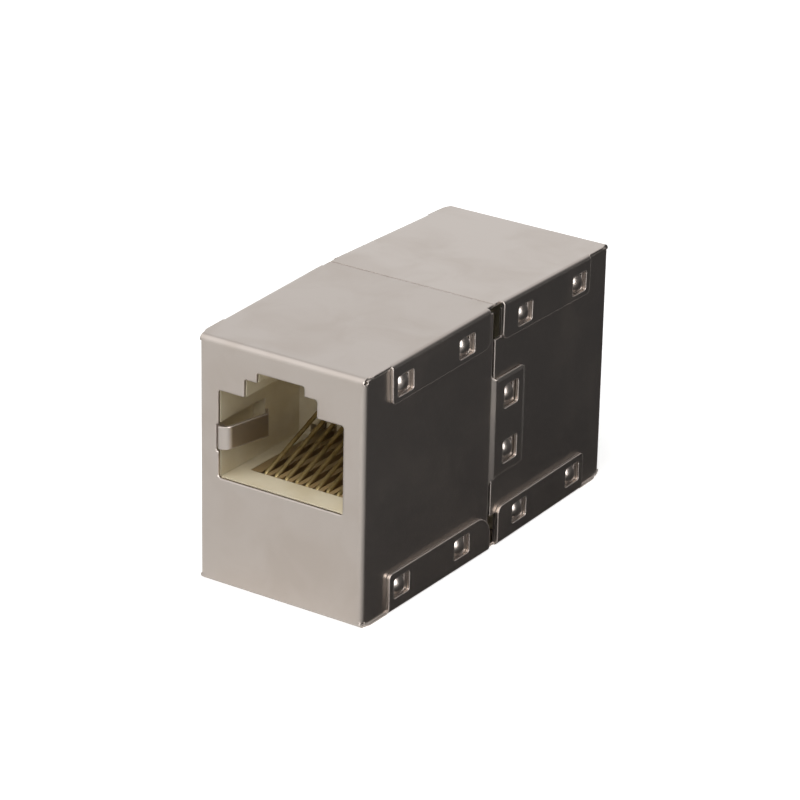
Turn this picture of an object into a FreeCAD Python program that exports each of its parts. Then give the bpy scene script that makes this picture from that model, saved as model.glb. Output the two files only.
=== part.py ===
import FreeCAD, Part

import math
import os

import Sketcher
from FreeCAD import Placement, Rotation, Vector

# RJ45 inline coupler: two identical folded sheet-metal shells, mouth to mouth, each round a plastic
# modular jack, with one circuit board through both jacks.
#
# Frame: X across the coupler, Y along it, Z up. The origin is the centre of the underside. Each half
# is modelled in its own frame, with the socket face at y = 0 and the mouth of the shell towards +y.
# The front half is that frame moved to -y, and the rear half is it turned half a turn about Z.

SIZES = [
    # the box of one shell
    ("face_width", 16.0, "socket face, outside of one side wall to outside of the other"),
    ("face_height", 21.65, "socket face, underside to top"),
    ("shell_length", 18.24, "socket face to the edge of the shell's mouth"),
    ("seam_gap", 0.4, "between the mouths of the two shells"),
    ("sheet", 0.25, "thickness of the sheet metal"),
    ("fold_radius", 0.5, "outer radius of the folds round the socket face"),
    ("top_flare", 1.24, "degrees by which the top wing springs open towards the mouth"),
    ("side_flare", 0.675, "degrees by which a side wall springs open towards the mouth"),
    # socket opening in the face
    ("opening_width", 12.2, "main opening"),
    ("opening_low", 9.55, "bottom edge of the opening above the underside"),
    ("opening_high", 17.28, "top edge of the main opening"),
    ("step_width", 7.1, "first step of the latch notch"),
    ("step_high", 18.83, "top of the first step"),
    ("notch_width", 4.65, "second step of the latch notch"),
    ("notch_high", 19.67, "top of the second step"),
    ("opening_round", 0.25, "corner radius of the opening"),
    # spring finger at the -x side of the opening
    ("finger_low", 12.1, "lower edge of the finger"),
    ("finger_high", 14.1, "upper edge of the finger"),
    ("finger_relief", 0.2, "slot in the face beside, above and below the curl of the finger"),
    ("finger_land", 0.05, "level edge of the finger before its curl"),
    ("finger_curl", 0.9, "outer radius of the curl"),
    ("finger_angle", 13.0, "degrees between the finger and the socket's axis"),
    ("finger_reach", 3.85, "straight length of the finger after the curl"),
    ("finger_tip", 1.0, "length of the tip bent back to the wall"),
    ("finger_tip_angle", 38.0, "degrees between the tip and the socket's axis"),
    ("strap_outside", 0.9, "strap that joins the finger to the back of the face, past the opening"),
    ("strap_inside", 0.3, "strap behind the curl of the finger, inside the opening"),
    # side walls
    ("face_inset", 0.52, "flat face's edges in from the underside and the top"),
    ("wall_play", 0.02, "between a side wall's edges and the wings over and under it"),
    ("relief_length", 0.95, "length of the corner reliefs at the mouth of the plain side wall"),
    ("relief_low", 3.0, "height of the lower corner relief"),
    ("relief_high", 18.85, "start of the upper corner relief"),
    # wings and their flaps
    ("wing_inset", 0.1, "ends of a wing's fold in from the side wall"),
    ("wing_start", 0.05, "end of a wing's fold to the place from where the wing widens"),
    ("wing_shoulder", 0.6, "length over which a wing widens"),
    ("wing_overhang", 0.12, "wing's edges out from the side wall in front of its flaps"),
    ("wing_reach", 0.15, "wings run past the mouth of the side walls by"),
    ("flap_gap", 0.05, "between a side wall and the flap over it"),
    ("flap_fold", 0.42, "outer radius of the fold between wing and flap"),
    ("flap_start", 3.5, "socket face to the front edge of the flaps"),
    ("flap_drop", 3.37, "top wing's outer face to the lower edge of its flaps"),
    ("flap_drop_low", 3.52, "bottom wing's outer face to the upper edge of its flaps"),
    ("flap_front_round", 0.4, "corner radius at the front of a flap"),
    ("flap_round_tongue", 0.8, "rear corner radius, top flap on the tongue side"),
    ("flap_round_tongue_low", 2.0, "rear corner radius, bottom flap on the tongue side"),
    ("flap_round_plain", 0.7, "rear corner radius, flaps on the plain side"),
    ("flap_back_tongue", 0.78, "top flap on the tongue side short of the mouth by"),
    ("flap_back_plain", 0.85, "flaps on the plain side short of the mouth by"),
    # snap windows and lances
    ("window_length", 2.2, "window in a flap, along the coupler"),
    ("window_height", 1.75, "window in a flap, upright"),
    ("window_round", 0.2, "corner radius of a window"),
    ("window_first", 5.27, "socket face to the middle of the first window"),
    ("window_second", 14.0, "socket face to the middle of the second window"),
    ("window_drop", 2.03, "top of a wing to the middle of its windows"),
    ("lance_rise", 0.36, "height of a lance above its side wall"),
    ("lance_span", 1.56, "width of a lance"),
    ("lance_length", 1.2, "length of a lance from its ramp to its free edge"),
    ("lance_play", 0.8, "between a lance's free edge and the window's edge"),
    ("lance_slot", 0.45, "length of the slot sheared behind a lance's free edge"),
    # tongue over the seam
    ("tongue_length", 4.95, "mouth of the shell to the end of the tongue"),
    ("tongue_low", 6.45, "lower edge of the tongue"),
    ("tongue_high", 15.35, "upper edge of the tongue"),
    ("tongue_play", 0.03, "between the tongue and the wall under it"),
    ("tongue_step", 0.36, "length over which the tongue steps outwards"),
    ("tongue_root_round", 0.6, "radius where the tongue leaves the side wall"),
    ("tongue_round", 0.6, "corner radius at the tongue's end"),
    ("tongue_bevel", 0.12, "depth of the bevel round the tongue's outer face"),
    ("tongue_bevel_end", 0.48, "width of that bevel at the tongue's end"),
    ("tongue_bevel_side", 0.3, "width of that bevel at the tongue's upper and lower edges"),
    ("tongue_window_length", 2.14, "window in the tongue, along the coupler"),
    ("tongue_window_height", 2.08, "window in the tongue, upright"),
    ("tongue_window_offset", 2.73, "mouth of the shell to the middle of the tongue's windows"),
    ("tongue_window_spread", 5.0, "middle of one tongue window to middle of the other"),
    # plastic jack housing
    ("housing_play", 0.1, "between the housing and the sheet round it"),
    ("housing_front", 0.06, "between the housing and the socket face"),
    ("housing_length", 15.2, "front to back of the housing"),
    ("socket_depth", 11.2, "socket face to the rear wall of the plug cavity"),
    ("socket_play", 0.05, "plug cavity's wall in from the edge of the sheet's opening"),
    ("latch_shoulder", 1.7, "socket face to the back of the latch shoulders"),
    ("latch_depth", 9.0, "socket face to the end of the latch notch"),
    ("recess_length", 6.4, "socket face to the end of the recess behind the finger"),
    ("recess_depth", 1.15, "depth of the recess behind the finger"),
    ("recess_margin", 0.25, "recess above and below the finger"),
    ("comb_high", 13.9, "top of the comb slots in the rear wall of the cavity"),
    ("comb_low", 10.7, "lower edge of the cavity's rear wall over the carrier"),
    ("comb_depth", 1.2, "depth of the comb slots"),
    ("chamber_width", 13.9, "width of the space for the board"),
    ("chamber_ledge", 0.7, "width of the ledge that the board lies on"),
    ("chamber_front", 2.0, "socket face to the front of the space for the board"),
    ("chamber_high", 7.2, "top of the space for the board"),
    # contacts
    ("contact_pitch", 1.02, "wire to wire"),
    ("wire", 0.38, "diameter of a contact wire"),
    ("wire_bend", 0.6, "centreline radius of the wire's turn at the front"),
    ("wire_front", 3.55, "socket face to the centre of that turn"),
    ("wire_slope", 21.0, "degrees by which the free leg rises"),
    ("wire_free", 9.2, "length of the free leg"),
    ("wire_corner", 0.5, "centreline radius of the wire's turn down to the board"),
    ("tail_first", 10.4, "socket face to the nearer row of tails"),
    ("tail_row", 2.54, "nearer row of tails to the farther row"),
    ("tail_below", 0.9, "length of a tail under the board"),
    # contact carrier
    ("carrier_width", 9.6, "width of the contact carrier"),
    ("carrier_play", 0.06, "between the carrier and the housing"),
    ("carrier_front", 2.75, "socket face to the carrier's front edge"),
    ("carrier_nose", 3.6, "socket face to the edge that the wires turn round"),
    ("carrier_block", 9.6, "socket face to the carrier's tail block"),
    ("carrier_riser", 13.2, "socket face to the riser at the carrier's back"),
    ("carrier_rear", 14.8, "socket face to the carrier's back"),
    ("carrier_floor", 9.6, "top of the carrier's floor between the wires"),
    ("carrier_under", 8.2, "underside of the carrier's floor"),
    ("comb_slot", 0.58, "width of a comb slot round a wire"),
    ("groove_play", 0.03, "between a wire and the groove or hole it lies in"),
    ("slot_floor", 9.02, "bottom of the comb slots in the carrier"),
    # circuit board
    ("board_width", 13.7, "width of the circuit board"),
    ("board_thick", 1.0, "thickness of the circuit board"),
    ("board_low", 3.4, "underside of the board above the coupler's underside"),
    ("board_end", 3.2, "socket face to the end of the board"),
    ("board_hole", 0.7, "diameter of a hole for a tail"),
]

doc = FreeCAD.newDocument("inline_coupler")
sheet = doc.addObject("Spreadsheet::Sheet", "Sizes")
for row, (alias, number, note) in enumerate(SIZES, start=1):
    sheet.set(f"A{row}", alias)
    sheet.set(f"B{row}", repr(number))
    sheet.set(f"C{row}", note)
    sheet.setAlias(f"B{row}", alias)
doc.recompute()


# ---- sizes that carry their spreadsheet formula ---------------------------------------------------

class Size:
    """A number together with the spreadsheet formula that gives it."""

    def __init__(self, number, formula):
        self.number = number
        self.formula = formula

    def __add__(self, other):
        other = as_size(other)
        return Size(self.number + other.number, f"({self.formula} + {other.formula})")

    def __sub__(self, other):
        other = as_size(other)
        return Size(self.number - other.number, f"({self.formula} - {other.formula})")

    def __mul__(self, other):
        other = as_size(other)
        return Size(self.number * other.number, f"({self.formula} * {other.formula})")

    def __truediv__(self, other):
        other = as_size(other)
        return Size(self.number / other.number, f"({self.formula} / {other.formula})")

    def __neg__(self):
        return as_size(0) - self

    def __radd__(self, other):
        return as_size(other) + self

    def __rsub__(self, other):
        return as_size(other) - self

    def __rmul__(self, other):
        return as_size(other) * self


def as_size(item):
    return item if isinstance(item, Size) else Size(float(item), repr(float(item)))


def size(alias):
    return Size(float(sheet.get(alias)), f"Sizes.{alias}")


def sine(degrees):
    return Size(math.sin(math.radians(degrees.number)), f"sin({degrees.formula})")


def cosine(degrees):
    return Size(math.cos(math.radians(degrees.number)), f"cos({degrees.formula})")


def bind(item, prop, value):
    item.setExpression(prop, as_size(value).formula)


# ---- sketches, extrusions and booleans -----------------------------------------------------------

PLANES = {
    "XY": Rotation(),
    "XZ": Rotation(Vector(1, 0, 0), 90),
    "YZ": Rotation(Vector(1, 1, 1), 120),
}
AXES = {"XY": "z", "XZ": "y", "YZ": "x"}
CCW = 1
CW = -1


def heading(start, end):
    """The level or upright direction from one corner to the next."""
    across = end[0].number - start[0].number
    up = end[1].number - start[1].number
    if abs(across) > abs(up):
        return (math.copysign(1, across), 0)
    return (0, math.copysign(1, up))


def rounded(corners):
    """Turn (x, y) and (x, y, radius) corners into vertices: (x, y, arc that leads on from it).

    A corner with a radius has one level and one upright side, so its arc starts and ends one radius
    from the corner along them.
    """
    corners = [tuple(as_size(item) for item in corner) for corner in corners]
    vertices = []
    for index, corner in enumerate(corners):
        x, y = corner[0], corner[1]
        if len(corner) == 2:
            vertices.append((x, y, None))
            continue
        radius = corner[2]
        arrive = heading(corners[index - 1], corner)
        leave = heading(corner, corners[(index + 1) % len(corners)])
        turn = arrive[0] * leave[1] - arrive[1] * leave[0]
        vertices.append((x - radius * arrive[0], y - radius * arrive[1], (radius, turn)))
        vertices.append((x + radius * leave[0], y + radius * leave[1], None))
    return vertices


def draw(sketch, vertices, closed=True):
    """Draw lines and arcs through the vertices, and tie every place and radius to the sheet."""
    vertices = [(as_size(x), as_size(y), arc) for x, y, arc in vertices]
    ends = vertices[1:] + vertices[:1] if closed else vertices[1:]
    curves = []
    for (x, y, arc), end in zip(vertices, ends):
        here = Vector(x.number, y.number, 0)
        there = Vector(end[0].number, end[1].number, 0)
        if arc is None:
            curves.append((sketch.addGeometry(Part.LineSegment(here, there), False), 1, 2))
            continue
        radius, turn = as_size(arc[0]), arc[1]
        chord = there - here
        side = Vector(-chord.y, chord.x, 0).normalize() * turn
        depth = math.sqrt(max(radius.number ** 2 - chord.Length ** 2 / 4, 0))
        centre = (here + there) * 0.5 + side * depth
        curve = sketch.addGeometry(Part.Arc(here, centre - side * radius.number, there), False)
        curves.append((curve, 1, 2) if turn > 0 else (curve, 2, 1))
        tie(sketch, Sketcher.Constraint("Radius", curve, radius.number), radius)
    for index, (curve, first, last) in enumerate(curves):
        if closed or index + 1 < len(curves):
            after = curves[(index + 1) % len(curves)]
            sketch.addConstraint(Sketcher.Constraint("Coincident", curve, last, after[0], after[1]))
        pin_point(sketch, curve, first, vertices[index])
    if not closed:
        pin_point(sketch, curves[-1][0], curves[-1][2], vertices[-1])


def pin_point(sketch, curve, point, place):
    for kind, where in (("DistanceX", place[0]), ("DistanceY", place[1])):
        tie(sketch, Sketcher.Constraint(kind, -1, 1, curve, point, where.number), where)


def tie(sketch, constraint, value):
    number = sketch.addConstraint(constraint)
    sketch.setExpression(f"Constraints[{number}]", value.formula)


def draw_circle(sketch, x, y, radius):
    x, y, radius = as_size(x), as_size(y), as_size(radius)
    circle = Part.Circle(Vector(x.number, y.number, 0), Vector(0, 0, 1), radius.number)
    curve = sketch.addGeometry(circle, False)
    tie(sketch, Sketcher.Constraint("Radius", curve, radius.number), radius)
    pin_point(sketch, curve, 3, (x, y))


def prism(name, plane, start, length, *loops, lean=None):
    """Extrude closed outlines from a plane of the half's frame, towards + on the plane's axis.

    A lean, an angle in degrees, turns the way from +y towards +x, with level ends all the same.
    """
    sketch = doc.addObject("Sketcher::SketchObject", name + "_outline")
    sketch.Placement = Placement(Vector(), PLANES[plane])
    bind(sketch, f".Placement.Base.{AXES[plane]}", start)
    for vertices in loops:
        draw(sketch, vertices)
    solid = doc.addObject("Part::Extrusion", name)
    solid.Base = sketch
    solid.DirMode = "Custom"
    solid.Dir = Vector(*(float(axis == AXES[plane]) for axis in "xyz"))
    solid.Solid = True
    if lean is None:
        bind(solid, "LengthFwd", length)
    else:
        bind(solid, "Dir.x", sine(lean))
        bind(solid, "Dir.y", cosine(lean))
        bind(solid, "LengthFwd", length / cosine(lean))
    return solid


def group(kind, name, shapes):
    joined = doc.addObject("Part::" + kind, name)
    joined.Shapes = shapes
    return joined


def cut(name, base, tool):
    result = doc.addObject("Part::Cut", name)
    result.Base = base
    result.Tool = tool
    return result


def mirrored(vertices, side):
    """The vertices as they are for side 1, or with x and every arc turned over for side -1."""
    return [(as_size(x) * side, y, (arc[0], arc[1] * side) if arc else None)
            for x, y, arc in vertices]


def box(x0, x1, y0, y1, radius=None):
    corners = [(x0, y0), (x1, y0), (x1, y1), (x0, y1)]
    return rounded([corner + (radius,) for corner in corners] if radius else corners)


# ---- bodies with pads, pockets and patterns ------------------------------------------------------

class Maker:
    """A PartDesign body whose features all lie on its own origin planes."""

    def __init__(self, label):
        self.body = doc.addObject("PartDesign::Body", label)
        self.label = label
        self.count = 0

    def origin(self, role):
        return next(item for item in self.body.Origin.OriginFeatures if item.Role == role)

    def sketch(self, plane, start):
        self.count += 1
        sketch = self.body.newObject("Sketcher::SketchObject", f"{self.label}_sketch_{self.count}")
        sketch.AttachmentSupport = (self.origin(plane + "_Plane"), [""])
        sketch.MapMode = "FlatFace"
        along = -as_size(start) if plane == "XZ" else as_size(start)
        bind(sketch, ".AttachmentOffset.Base.z", along)
        return sketch

    def feature(self, kind, name, plane, start, length, loops):
        """A pad or pocket from the start towards + on the plane's axis."""
        sketch = self.sketch(plane, start)
        for loop in loops:
            if callable(loop):
                loop(sketch)
            else:
                draw(sketch, loop)
        made = self.body.newObject("PartDesign::" + kind, f"{self.label}_{name}")
        made.Profile = sketch
        made.Type = "Length"
        bind(made, "Length", length)
        made.Reversed = (plane == "XZ") == (kind == "Pad")
        before = self.volume()
        doc.recompute()
        change = made.Shape.Volume - before
        if (change > 0) != (kind == "Pad") or abs(change) < 1e-6:
            raise RuntimeError(f"{made.Name} changes the volume by {change}")
        return made

    def volume(self):
        solids = [item for item in self.body.Group if hasattr(item, "Reversed")]
        shapes = [item.Shape for item in solids if not item.Shape.isNull()]
        return shapes[-1].Volume if shapes and len(solids) > 1 else 0.0

    def pad(self, name, plane, start, length, *loops):
        return self.feature("Pad", name, plane, start, length, loops)

    def pocket(self, name, plane, start, length, *loops):
        return self.feature("Pocket", name, plane, start, length, loops)

    def row(self, name, feature, spacing, number):
        """Repeat a feature along X."""
        pattern = self.body.newObject("PartDesign::LinearPattern", f"{self.label}_{name}")
        pattern.Originals = [feature]
        pattern.Direction = (self.origin("X_Axis"), [""])
        pattern.Occurrences = number
        bind(pattern, "Length", as_size(spacing) * (number - 1))
        self.body.Tip = pattern
        doc.recompute()
        return pattern


# ---- sizes shared by several pieces ----------------------------------------------------------------

gauge = size("sheet")
half_width = size("face_width") / 2
face_height = size("face_height")
mouth = size("shell_length")
half_length = mouth + size("seam_gap") / 2
fold = size("fold_radius")
inner_fold = fold - gauge
wing_end = mouth + size("wing_reach") - fold
flap_inside = half_width + size("flap_gap")
flap_outside = flap_inside + gauge
opening_half = size("opening_width") / 2
wire = size("wire")
wire_run = size("carrier_under") + size("groove_play") + wire / 2
wire_centre = wire_run + size("wire_bend")
board_top = size("board_low") + size("board_thick")
CONTACTS = 8


def contact_x(index):
    return size("contact_pitch") * (index - (CONTACTS - 1) / 2)


def tail_y(index):
    return size("tail_first") + size("tail_row") * (index % 2)


# ---- sheet-metal shell -----------------------------------------------------------------------------

def spread(y):
    """How far the side walls have sprung outwards at y."""
    return (y - fold) * sine(size("side_flare")) / cosine(size("side_flare"))


def face_and_walls(name):
    """The flat socket face, and on each side the fold and the wall that springs outwards.

    The walls reach up and down to the wings. The face and its folds end short of the wings' folds.
    """
    flat, inner = half_width - fold, half_width - gauge
    face_low, wall_low = size("face_inset"), gauge + size("wall_play")
    face_tall, wall_tall = face_height - face_low * 2, face_height - wall_low * 2
    face = box(-flat, flat, face_low, face_low + face_tall)
    pieces = [prism(name + "_face", "XZ", 0, gauge, face)]
    bend = [(flat, 0, (fold, CCW)), (half_width, fold, None), (inner, fold, (inner_fold, CW)),
            (flat, gauge, None)]
    wall = [(half_width, fold, None), (half_width + spread(mouth), mouth, None),
            (inner + spread(mouth), mouth, None), (inner, fold, None)]
    for side, word in ((-1, "left"), (1, "right")):
        label = f"{name}_{word}"
        pieces.append(prism(label + "_bend", "XY", face_low, face_tall, mirrored(bend, side)))
        pieces.append(prism(label + "_wall", "XY", wall_low, wall_tall, mirrored(wall, side)))
    return group("MultiFuse", name + "_walls", pieces)


def wing_fold(name, flare):
    """The fold from the face into a wing, seen from the side, in the frame of its own bend.

    The bend's centre is the origin and the wing's outer face is level, fold radius above it. The
    leg that joins the face is turned back by the flare, so it stands upright once the wing tilts.
    """
    reach = size("face_inset") + inner_fold
    outer = (-(fold * cosine(flare)), fold * sine(flare))
    inner = (-(inner_fold * cosine(flare)), inner_fold * sine(flare))
    foot = (-(reach * sine(flare)), -(reach * cosine(flare)))
    strip = [
        (0, fold, None), (wing_end, fold, None), (wing_end, inner_fold, None),
        (0, inner_fold, (inner_fold, CCW)), (inner[0], inner[1], None),
        (outer[0], outer[1], (fold, CW)),
    ]
    leg = [
        (inner[0], inner[1], None), (inner[0] + foot[0], inner[1] + foot[1], None),
        (outer[0] + foot[0], outer[1] + foot[1], None), (outer[0], outer[1], None),
    ]
    half, flat = half_width - size("wing_inset"), half_width - fold
    return [prism(name + "_fold", "YZ", -half, half * 2, strip),
            prism(name + "_leg", "YZ", -flat, flat * 2, leg)]


def flap(name, side, drop, end, end_round):
    """One side flap with its two windows, as a plate along its side wall, in the wing's frame."""
    start = size("flap_start")
    near, far = start - fold, end - fold
    root, tip = fold - size("flap_fold"), fold - drop
    slab = [
        (flap_inside + spread(start), near, None), (flap_outside + spread(start), near, None),
        (flap_outside + spread(end), far, None), (flap_inside + spread(end), far, None),
    ]
    plate = prism(name + "_plate", "XY", tip, root - tip, mirrored(slab, side))
    corners = [(near, root), (near, tip, size("flap_front_round")), (far, tip, end_round),
               (far, root)]
    loops = [rounded(corners)]
    middle = fold - size("window_drop")
    reach, rise = size("window_length") / 2, size("window_height") / 2
    for centre in (size("window_first") - fold, size("window_second") - fold):
        loops.append(box(centre - reach, centre + reach, middle - rise, middle + rise,
                         size("window_round")))
    inside, outside = flap_inside - gauge, flap_outside + spread(end) + gauge
    outline = prism(name + "_outline", "YZ", inside if side > 0 else -outside, outside - inside,
                    *loops)
    return group("MultiCommon", name, [plate, outline])


def wing(name, flare, drop, ends):
    """A wing in its own frame: the fold, the plate's widening borders, the flap folds and flaps.

    ends gives, for the -x and the +x flap, where it stops and its corner radius there.
    """
    pieces = wing_fold(name, flare)
    bend, start = size("flap_fold"), size("flap_start")
    near = start - fold
    narrow = half_width - size("wing_inset")
    centre = narrow / 2
    outside, inside = flap_outside + spread(start), flap_inside + spread(start)
    widest = outside - bend
    front, over = size("wing_start"), half_width + size("wing_overhang")
    mouth_half = flap_outside - bend + spread(wing_end + fold)
    for side, (end, end_round) in zip((-1, 1), ends):
        label = name + ("_left" if side < 0 else "_right")
        channel = [
            (centre, fold, None), (widest, fold, (bend, CW)), (outside, fold - bend, None),
            (inside, fold - bend, (bend - gauge, CCW)), (widest, inner_fold, None),
            (centre, inner_fold, None),
        ]
        pieces.append(prism(label + "_bend", "XZ", near, end - start, mirrored(channel, side),
                            lean=size("side_flare") * side))
        pieces.append(flap(label + "_flap", side, drop, end, end_round))
        border = [
            (centre, front, None), (narrow, front, None),
            (over, front + size("wing_shoulder"), None), (over + spread(start), near, None),
            (widest, near, None), (mouth_half, wing_end, None), (centre, wing_end, None),
        ]
        pieces.append(prism(label + "_border", "XY", inner_fold, gauge, mirrored(border, side)))
    return group("MultiFuse", name, pieces)


def place_wing(part, height, turn, flare):
    """Put a wing's frame at its bend: turned by 0 for the top wing, by 180 for the bottom one."""
    part.setExpression(
        "Placement",
        f"placement(vector(0; {fold.formula}; {as_size(height).formula}); "
        f"rotation(vector(0; 1; 0); {turn}) * rotation(vector(1; 0; 0); {flare.formula}))",
    )


def tongue_window_heights():
    """Heights of the middles of the tongue's two windows."""
    middle = (size("tongue_low") + size("tongue_high")) / 2
    apart = size("tongue_window_spread") / 2
    return (middle - apart, middle + apart)


def tongue(name):
    """The tongue that steps out of the +x wall and lies over the other shell's wall.

    Its outer face falls away in a bevel at the end and along the upper and lower edges.
    """
    low, high = size("tongue_low"), size("tongue_high")
    corner, blend = size("tongue_round"), size("tongue_root_round")
    bevel = size("tongue_bevel")
    start, ridge = mouth - blend, mouth + size("tongue_step")
    end = mouth + size("tongue_length")
    wall = half_width - gauge
    under = half_width + spread(mouth) + size("tongue_play")
    over = under + gauge
    plan = [
        (wall + spread(start), start, None), (half_width + spread(start), start, None),
        (half_width + spread(mouth), mouth, None), (over, ridge, None),
        (over, end - size("tongue_bevel_end"), None), (over - bevel, end, None),
        (under, end, None), (under, ridge, None), (wall + spread(mouth), mouth, None),
    ]
    step = prism(name + "_step", "XY", low - blend, high - low + blend * 2, plan)
    outline = [
        (start, low - blend, None), (mouth, low - blend, (blend, CW)), (mouth + blend, low, None),
        (end - corner, low, (corner, CCW)), (end, low + corner, None),
        (end, high - corner, (corner, CCW)), (end - corner, high, None),
        (mouth + blend, high, (blend, CW)), (mouth, high + blend, None),
        (start, high + blend, None),
    ]
    loops = [outline]
    middle = mouth + size("tongue_window_offset")
    reach, rise = size("tongue_window_length") / 2, size("tongue_window_height") / 2
    for height in tongue_window_heights():
        loops.append(box(middle - reach, middle + reach, height - rise, height + rise,
                         size("window_round")))
    inside, outside = wall - gauge, over + gauge
    punch = prism(name + "_punch", "YZ", inside, outside - inside, *loops)
    slope = size("tongue_bevel_side")
    section = [
        (inside, low, None), (over - bevel, low, None), (over, low + slope, None),
        (over, high - slope, None), (over - bevel, high, None), (inside, high, None),
    ]
    root = box(inside, outside, low - blend, high + blend)
    profile = group("MultiFuse", name + "_profile", [
        prism(name + "_root", "XZ", start, blend * 2, root),
        prism(name + "_section", "XZ", mouth + blend, end - mouth - blend, section),
    ])
    return group("MultiCommon", name, [step, punch, profile])


def lance_places():
    """Side, y, z, direction of the free edge and window length of each lance on the side walls."""
    places = []
    for side in (-1, 1):
        for y in (size("window_first"), size("window_second")):
            lift = (y - fold) * sine(size("top_flare"))
            top = face_height - size("window_drop") + lift
            places.append((side, y, size("window_drop"), side, size("window_length")))
            places.append((side, y, top, side, size("window_length")))
    y = mouth + size("seam_gap") - size("tongue_window_offset")
    for z in tongue_window_heights():
        places.append((-1, y, z, -1, size("tongue_window_length")))
    return places


def lances(name):
    """Bullet-shaped lances: a ball's cap runs on as a barrel and is cut straight at its free edge.

    Returns the solid bumps, and the hollows behind them with the slots at their free edges.
    """
    rise, reach = size("lance_rise"), size("lance_span") / 2
    length = size("lance_length")
    bulge = (reach * reach + rise * rise) / (rise * 2)
    depth = gauge * 2 + rise
    slot = size("lance_slot")
    bumps, hollows, trims, slots = [], [], [], []
    for index, (side, y, z, edge, window) in enumerate(lance_places(), start=1):
        tag = f"{name}_lance_{index}"
        free = y + (window / 2 - size("lance_play")) * edge
        centre = free - (length - reach) * edge
        axis = (half_width + spread(y) + rise - bulge) * side
        for radius, kind, into in ((bulge, "bump", bumps), (bulge - gauge, "hollow", hollows)):
            ball = doc.addObject("Part::Sphere", f"{tag}_{kind}_ball")
            barrel = doc.addObject("Part::Cylinder", f"{tag}_{kind}_barrel")
            barrel.Placement = Placement(Vector(), Rotation(Vector(1, 0, 0), -90 * edge))
            bind(barrel, "Height", length - reach)
            for round_part in (ball, barrel):
                bind(round_part, "Radius", radius)
                place(round_part, axis, centre, z)
                into.append(round_part)
        inside = half_width - gauge + spread(y)
        for kind, start, run, tall, into in (
                ("trim", free - length if edge > 0 else free, length, bulge, trims),
                ("slot", free if edge > 0 else free - slot, slot, reach, slots)):
            block = doc.addObject("Part::Box", f"{tag}_{kind}")
            bind(block, "Length", depth)
            bind(block, "Width", run)
            bind(block, "Height", tall * 2)
            place(block, inside if side > 0 else -inside - depth, start, z - tall)
            into.append(block)
    trimmer = group("MultiFuse", name + "_lance_trims", trims)
    made = []
    for kind, shapes in (("bumps", bumps), ("hollows", hollows)):
        raw = group("MultiFuse", f"{name}_lance_{kind}_raw", shapes)
        made.append(group("MultiCommon", f"{name}_lance_{kind}", [raw, trimmer]))
    return made[0], group("MultiFuse", name + "_lance_openings", [made[1]] + slots)


def place(part, x, y, z):
    for axis, where in zip("xyz", (x, y, z)):
        bind(part, f".Placement.Base.{axis}", where)


def finger(name):
    """The spring finger, seen from above: a curl at the opening's side, a run inwards, a bent tip.

    Its front edge stands free in the slot of the face, and a strap behind the face carries it.
    """
    lean, back = size("finger_angle"), size("finger_tip_angle")
    curl = size("finger_curl")
    inner_curl = curl - gauge
    reach, tip = size("finger_reach"), size("finger_tip")
    root = opening_half - size("finger_land")
    turned = (root - curl * cosine(lean), curl - curl * sine(lean))
    turned_in = (root - inner_curl * cosine(lean), curl - inner_curl * sine(lean))
    ridge = (turned[0] - reach * sine(lean), turned[1] + reach * cosine(lean))
    end = (ridge[0] + tip * sine(back), ridge[1] + tip * cosine(back))
    end_in = (end[0] + gauge * cosine(back), end[1] - gauge * sine(back))
    half_turn = (lean + back) / 2
    crease = gauge / cosine(half_turn)
    lay = half_turn - lean
    ridge_in = (ridge[0] + crease * cosine(lay), ridge[1] - crease * sine(lay))
    strip = [
        (opening_half, 0, None), (root, 0, (curl, CW)), (turned[0], turned[1], None),
        (ridge[0], ridge[1], None), (end[0], end[1], None), (end_in[0], end_in[1], None),
        (ridge_in[0], ridge_in[1], None), (turned_in[0], turned_in[1], (inner_curl, CCW)),
        (root, gauge, None), (opening_half, gauge, None),
    ]
    strap = box(opening_half - size("strap_inside"), opening_half + size("strap_outside"),
                gauge, gauge * 2)
    low = size("finger_low")
    height = size("finger_high") - low
    return group("MultiFuse", name, [
        prism(name + "_strip", "XY", low, height, mirrored(strip, -1)),
        prism(name + "_strap", "XY", low, height, mirrored(strap, -1)),
    ])


def opening_outline(margin):
    """The stepped socket opening, seen from the front, drawn in by the margin."""
    radius = size("opening_round")
    wide, low = opening_half - margin, size("opening_low") + margin
    middle, narrow = size("step_width") / 2 - margin, size("notch_width") / 2 - margin
    high, step_high = size("opening_high") - margin, size("step_high") - margin
    top = size("notch_high") - margin
    return rounded([
        (-wide, low, radius), (wide, low, radius), (wide, high, radius), (middle, high),
        (middle, step_high, radius), (narrow, step_high), (narrow, top, radius),
        (-narrow, top, radius), (-narrow, step_high), (-middle, step_high, radius),
        (-middle, high), (-wide, high, radius),
    ])


def punched_walls(name):
    """The folded strip less its socket opening, finger slot and corner reliefs."""
    relief = size("finger_relief")
    wide = opening_half + relief
    slot = box(-wide, 0, size("finger_low") - relief, size("finger_high") + relief)
    back = mouth - size("relief_length")
    side = -(half_width + gauge)
    corners = [box(back, mouth + gauge, 0, size("relief_low")),
               box(back, mouth + gauge, size("relief_high"), face_height)]
    tools = [
        prism(name + "_opening", "XZ", -gauge, gauge * 3, opening_outline(as_size(0))),
        prism(name + "_finger_slot", "XZ", -gauge, gauge * 3, slot),
        prism(name + "_reliefs", "YZ", side, gauge * 3, *corners),
    ]
    return cut(name + "_strip", face_and_walls(name), group("MultiFuse", name + "_punches", tools))


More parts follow.
